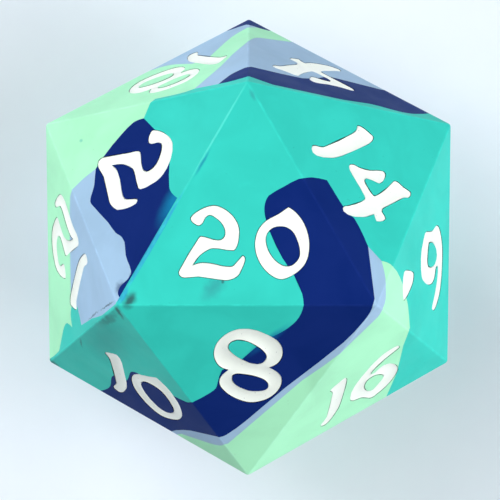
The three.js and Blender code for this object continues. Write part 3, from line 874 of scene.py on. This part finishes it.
# Noise: size in mm, detail, roughness, distortion, and a shift that keeps two from lining up.
# A pattern is a noise, the two values between which it rises, and what it rises from and to.
CLOUDS = (9, 3, 0.55, 0.6, 0), (0.3, 0.7), (0, 1)
STREAKS = (2.2, 2, 0.5, 1.2, 31), (0.55, 0.8), (0, 0.35)
SPECKED_PARTS = (5, 1, 0.5, 0, 23), (0.52, 0.62), (0, 1)
SPECKS = (0.30, 0, 0.5, 0, 7), (0.80, 0.86), (0, 0.30)
EDGE_WEAR_AND_HIGHLIGHT = (1.4, 2, 0.6, 0, 5), (0.3, 0.75), (0.1, 0.55)
MATTNESS = (4, 3, 0.6, 0, 17), (0.3, 0.7), (0.40, 0.50)
PAINT_CLOUDS = (1.6, 3, 0.6, 0.8, 0), (0.3, 0.75), (0, 0.5)
PINHOLES = (0.3, 0, 0.5, 0, 11), (0.82, 0.88), (0, 0.5)
# A relief is a list of noises with their shares of the height, a strength and a depth.
SILICONE_RELIEF = (((5.5, 1, 0.5, 0, 3), 3.0), ((0.22, 2, 0.55, 0, 0), 0.05)), 0.5, 0.02 * MM
PAINT_RELIEF = (((1.1, 1, 0.5, 0, 9), 1.0), ((0.15, 3, 0.6, 0, 0), 0.12)), 0.6, 0.03 * MM

GRIME_AND_SHADE = rgba(0.035, 0.15, 0.15)
BLEED = rgba(0.004, 0.13, 0.34)
SKY_BLUE = rgba(0.03, 0.36, 0.60)
EDGE_HIGHLIGHT_TEAL = rgba(0.22, 0.85, 0.78)
DEEP_TEAL = rgba(0.035, 0.33, 0.31)
SMEAR = rgba(0.04, 0.30, 0.32)
SEAM_BLUE = rgba(0.004, 0.10, 0.30)
SHALLOW_BLUE = rgba(0.006, 0.20, 0.40)
INKY = rgba(0.01, 0.03, 0.12)
SCRATCH = rgba(0.05, 0.07, 0.12)
GREEN_DOT = rgba(0.05, 0.5, 0.4)

# Where other colours have bled in or dirt has settled, with a painted highlight along one edge
# and painted shade at one corner: colour, middle and size in mm, turn in degrees, strength,
# softness and raggedness in mm.
TOP_MM = INRADIUS / MM
STAINS = {
    "silicone_teal": (
        (BLEED, (-11.6, -3.0, TOP_MM), (11.0, 0.45, 3), 60, 0.45, 0.9, 0.15),
        (SKY_BLUE, (-10.6, -1.67, TOP_MM), (16.5, 0.52, 3), 60, 1.0, 0.4, 0.05),
        (SKY_BLUE, (-13.85, -7.3, TOP_MM), (2.8, 1.0, 3), 60, 0.90, 0.6, 0.2),
        # A painted highlight: a paler teal line along the top face's left edge, near its top
        # corner.
        (EDGE_HIGHLIGHT_TEAL, (-3.2, 11.2, TOP_MM), (15.0, 0.30, 3), 60, 0.35, 0.6, 0.05),
        (BLEED, (-5.0, 7.6, TOP_MM), (4.6, 0.55, 2), 60, 0.60, 0.9, 0.2),
        (GRIME_AND_SHADE, (-13.05, -7.8, TOP_MM), (2.9, 1.7, 3), 62, 1.0, 0.8, 0.6),
        (SMEAR, (-3.7, -6.3, TOP_MM), (5.2, 2.8, 3), 48, 0.65, 1.0, 1.0),
        (GRIME_AND_SHADE, (-2.72, -5.75, TOP_MM), (0.5, 0.6, 2), 0, 0.80, 0.7, 0.2),
        (BLEED, (2.25, -12.2, 18.5), (9.0, 1.4, 8), 36, 0.8, 1.0, 0.1),
        (SMEAR, (0.6, 15.2, TOP_MM), (0.8, 2.0, 2), 25, 0.55, 0.9, 0.3),
        (DEEP_TEAL, (-16.6, -12.2, 13.5), (9.0, 9.0, 26), 0, 0.60, 0.9, 1.0),
        (GRIME_AND_SHADE, (-14.3, -9.1, 20.7), (0.5, 2.4, 5), 35, 0.90, 0.7, 0.4),
        (GRIME_AND_SHADE, (-15.9, -9.8, 17.0), (8.0, 1.6, 9), 27, 0.55, 0.9, 1.2),
        (GRIME_AND_SHADE, (-19.2, -11.8, 5.9), (0.3, 1.8, 4), 10, 0.60, 0.8, 0.4),
        # Painted shade at the corner of the die that lies furthest to the lower left.
        (GRIME_AND_SHADE, (-22.9, -13.7, -5.0), (3.4, 1.2, 2.4), -30, 0.85, 0.7, 0.6),
    ),
    "silicone_navy": (
        (SEAM_BLUE, (2.25, -12.2, 18.5), (9.0, 1.2, 8), 36, 0.8, 1.0, 0.1),
        (SHALLOW_BLUE, (-7.9, 3.6, 21.6), (9.5, 3.4, 8), 58, 0.95, 0.9, 0.3),
        (SKY_BLUE, (-10.6, -1.67, TOP_MM), (16.5, 0.50, 3), 60, 0.95, 0.5, 0.05),
    ),
    "silicone_periwinkle": (
        (INKY, (-13.9, -6.6, 21.3), (1.9, 3.0, 3), 30, 0.85, 0.9, 0.9),
        (SCRATCH, (-15.7, -8.2, 18.4), (4.4, 0.30, 8), 22, 0.75, 0.8, 0.6),
        (SCRATCH, (-17.5, -9.0, 13.2), (3.0, 0.28, 8), 32, 0.60, 0.8, 0.6),
    ),
    "silicone_mint": (
        (GREEN_DOT, (-19.1, 11.2, 9.5), (0.6, 0.6, 1), 0, 0.5, 0.8, 0.2),
    ),
}


def silicone(slot):
    """Satin silicone: a faint cloudiness, specks, stains with a painted highlight and painted
    shade among them, pale edges that are partly worn and partly a painted highlight, painted
    shade in the recesses, and a soft grain.
    """
    nodes = Nodes(slot)
    base = SILICONE[slot]
    light = shade(base, *LIGHTER)
    colour = nodes.mix(nodes.pattern(*CLOUDS), shade(base, DARKER), light)
    colour = nodes.mix(nodes.pattern(*STREAKS), colour, light)
    speck = nodes.math("MULTIPLY", nodes.pattern(*SPECKED_PARTS), nodes.pattern(*SPECKS))
    colour = nodes.mix(speck, colour, shade(base, SPECK_SHADE))
    for tint, middle, size, turn, strength, soft, rag in STAINS[slot]:
        mask = nodes.spot(middle, size, turn, soft, rag)
        colour = nodes.mix(nodes.math("MULTIPLY", mask, strength), colour, tint)
    # Pale edges: partly wear, partly a painted highlight along the rounded edges of the die.
    wear_and_highlight = nodes.math("MULTIPLY", nodes.attribute("on_edge"), nodes.pattern(*EDGE_WEAR_AND_HIGHLIGHT))
    colour = nodes.mix(wear_and_highlight, colour, shade(base, *WORN_AND_HIGHLIGHT_TONE))
    # Painted shade in the recesses round the paint: their walls and floors are darkened.
    colour = nodes.mix(nodes.attribute("in_recess"), colour, shade(base, RECESS_PAINTED_SHADE[slot]))
    gloss, haze = LUSTRE[slot]
    matt = nodes.pattern(*MATTNESS)
    normal = nodes.relief(*SILICONE_RELIEF)
    return nodes.finish(colour, matt, normal, SILICONE_IOR, gloss, haze, HAZE_BLUE)


def paint():
    """Thick white paint: matt, a little uneven, with a few pinholes."""
    nodes = Nodes("ink_white")
    colour = nodes.mix(nodes.pattern(*PAINT_CLOUDS), PAINT, PAINT_COOL)
    colour = nodes.mix(nodes.pattern(*PINHOLES), colour, PINHOLE)
    normal = nodes.relief(*PAINT_RELIEF)
    return nodes.finish(colour, PAINT_ROUGHNESS, normal, PAINT_IOR, PAINT_GLOSS, PAINT_HAZE)


# ---------------------------------------------------------------- build the die
def slot_of(node):
    """A node's name begins with ink or with the colour of its silicone."""
    first = node.split("_")[0]
    return "ink_white" if first == "ink" else "silicone_" + first


silicone_nodes = sorted(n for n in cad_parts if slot_of(n) in SILICONE)
ink_nodes = sorted(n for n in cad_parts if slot_of(n) == "ink_white")
materials = {slot: silicone(slot) for slot in SILICONE}
materials["ink_white"] = paint()

solids = {node: mesh_of(node) for node in silicone_nodes}
surfaces = silicone_tree(solids.values())
kinds_of = {node: tag_parts(bm, surfaces) for node, bm in solids.items()}
HALF_GAP = seam_gap_from_frame(solids["teal_body"], kinds_of["teal_body"], surfaces) / 2
for node, bm in solids.items():
    close_seams(bm, kinds_of[node])
sharp_points = corner_tree(solids, kinds_of)
for node, bm in solids.items():
    smooth_outlines(bm, kinds_of[node], sharp_points)
    round_edges(bm, kinds_of[node])
    name = node + "_cast"
    mesh = finish_mesh(bm, kinds_of[node], name)
    bm.free()
    piece(name, mesh, node, materials[slot_of(node)])

for node in ink_nodes:
    name = node + "_paint"
    piece(name, paint_mesh(node, name), node, materials["ink_white"])


# ---------------------------------------------------------------- the table and the studio
TABLE_REACH = 30 * HEIGHT  # from its middle to its sides
TABLE_PALE = rgba(0.795, 0.85, 0.92)
TABLE_GREY = rgba(0.775, 0.83, 0.905)
TABLE_IOR = 1.4
TABLE_ROUGHNESS = 0.7
TABLE_GLOSS = 0.3
TABLE_CLOUDS = (14, 3, 0.6, 0, 0), (0.3, 0.7), (0, 1)
TABLE_RELIEF = (((0.5, 4, 0.6, 0, 0), 1.0),), 0.15, 0.05 * MM
LAMP_DISTANCE = 0.45
LAMP_SIZE = 0.30
LAMP_COLOUR = (0.985, 0.995, 1.0)
WALL_COLOUR = rgba(0.86, 0.93, 0.96)
WALL_LIGHT = 0.02  # on the die
WALL_BRIGHTNESS = 0.95  # to the camera
LENS_MM = 305.2
SENSOR_MM = 36
CAMERA_PLACE_MM = (2.874, -34.22, 492.63)
CAMERA_AHEAD = (-0.00545, 0.06791, -0.99768)
CAMERA_UP = (-0.00082, 0.99769, 0.06791)
CAMERA_SEES = (0.01, 10)  # nearest and furthest
# Name, azimuth and elevation in degrees, and power in watts.
LAMPS = (
    ("left_high", 180, 65, 0.38),
    ("left_middle", 180, 45, 0.32),
    ("back_middle", 140, 45, 0.74),
    ("back_low", 140, 25, 0.86),
    ("right_middle", 330, 45, 1.08),
    ("right_low", 0, 25, 0.88),
    ("front_low", 330, 25, 0.20),
    # The table hides these two, until a picture is taken from under it.
    ("below_front", 250, -45, 1.6),
    ("below_back", 60, -55, 1.2),
)


def table():
    bm = bmesh.new()
    bmesh.ops.create_grid(bm, x_segments=1, y_segments=1, size=TABLE_REACH)
    mesh = bpy.data.meshes.new("table")
    bm.to_mesh(mesh)
    bm.free()
    made = bpy.data.objects.new("table", mesh)
    made.location.z = cad_box[0].z
    bpy.context.scene.collection.objects.link(made)
    nodes = Nodes("table_top")
    colour = nodes.mix(nodes.pattern(*TABLE_CLOUDS), TABLE_GREY, TABLE_PALE)
    normal = nodes.relief(*TABLE_RELIEF)
    finished = nodes.finish(colour, TABLE_ROUGHNESS, normal, TABLE_IOR, TABLE_GLOSS)
    mesh.materials.append(finished)
    return made


def softbox(name, azimuth, elevation, power):
    """A square area lamp that faces the die. Azimuth runs anticlockwise from +X."""
    rise = math.radians(elevation)
    out = corner(math.cos(rise), azimuth, math.sin(rise))
    data = bpy.data.lights.new(name, "AREA")
    data.shape = "SQUARE"
    data.size = LAMP_SIZE
    data.energy = power
    data.color = LAMP_COLOUR
    lamp = bpy.data.objects.new(name, data)
    lamp.location = out * LAMP_DISTANCE
    lamp.rotation_mode = "QUATERNION"
    lamp.rotation_quaternion = (-out).to_track_quat("-Z", "Y")
    bpy.context.scene.collection.objects.link(lamp)


def studio_walls():
    """A pale surround that the camera sees and that gives the die hardly any light."""
    world = bpy.data.worlds.new("studio")
    world.use_nodes = True
    tree = world.node_tree
    background = tree.nodes["Background"]
    background.inputs["Color"].default_value = WALL_COLOUR
    seen = tree.nodes.new("ShaderNodeLightPath").outputs["Is Camera Ray"]
    strength = tree.nodes.new("ShaderNodeMapRange")
    strength.inputs["To Min"].default_value = WALL_LIGHT
    strength.inputs["To Max"].default_value = WALL_BRIGHTNESS
    tree.links.new(seen, strength.inputs["Value"])
    tree.links.new(strength.outputs[0], background.inputs["Strength"])
    bpy.context.scene.world = world


def camera():
    data = bpy.data.cameras.new("camera")
    data.sensor_width = SENSOR_MM
    data.lens = LENS_MM
    data.clip_start, data.clip_end = CAMERA_SEES
    made = bpy.data.objects.new("camera", data)
    ahead = Vector(CAMERA_AHEAD).normalized()
    right = ahead.cross(Vector(CAMERA_UP)).normalized()
    turn = Matrix((right, right.cross(ahead), -ahead)).transposed().to_4x4()
    made.matrix_world = Matrix.Translation(Vector(CAMERA_PLACE_MM) * MM) @ turn
    bpy.context.scene.collection.objects.link(made)
    bpy.context.scene.camera = made
    return made


def leave_out_from_below(surface, viewer):
    """Leaves the table out of a picture that is taken from under it."""
    curve = surface.driver_add("hide_render")
    curve.driver.type = "AVERAGE"  # of one value, the camera's height
    height = curve.driver.variables.new()
    height.type = "TRANSFORMS"
    height.targets[0].id = viewer
    height.targets[0].transform_type = "LOC_Z"
    while curve.modifiers:
        curve.modifiers.remove(curve.modifiers[0])
    level = surface.location.z
    points = ((level - 1, 1), (level, 0))  # hidden at every height below its own
    curve.keyframe_points.add(len(points))
    for key, point in zip(curve.keyframe_points, points):
        key.co = point
        key.interpolation = "CONSTANT"
    curve.update()


table_top = table()
studio_walls()
for lamp in LAMPS:
    softbox(*lamp)
leave_out_from_below(table_top, camera())
bpy.context.scene.view_settings.view_transform = "Standard"
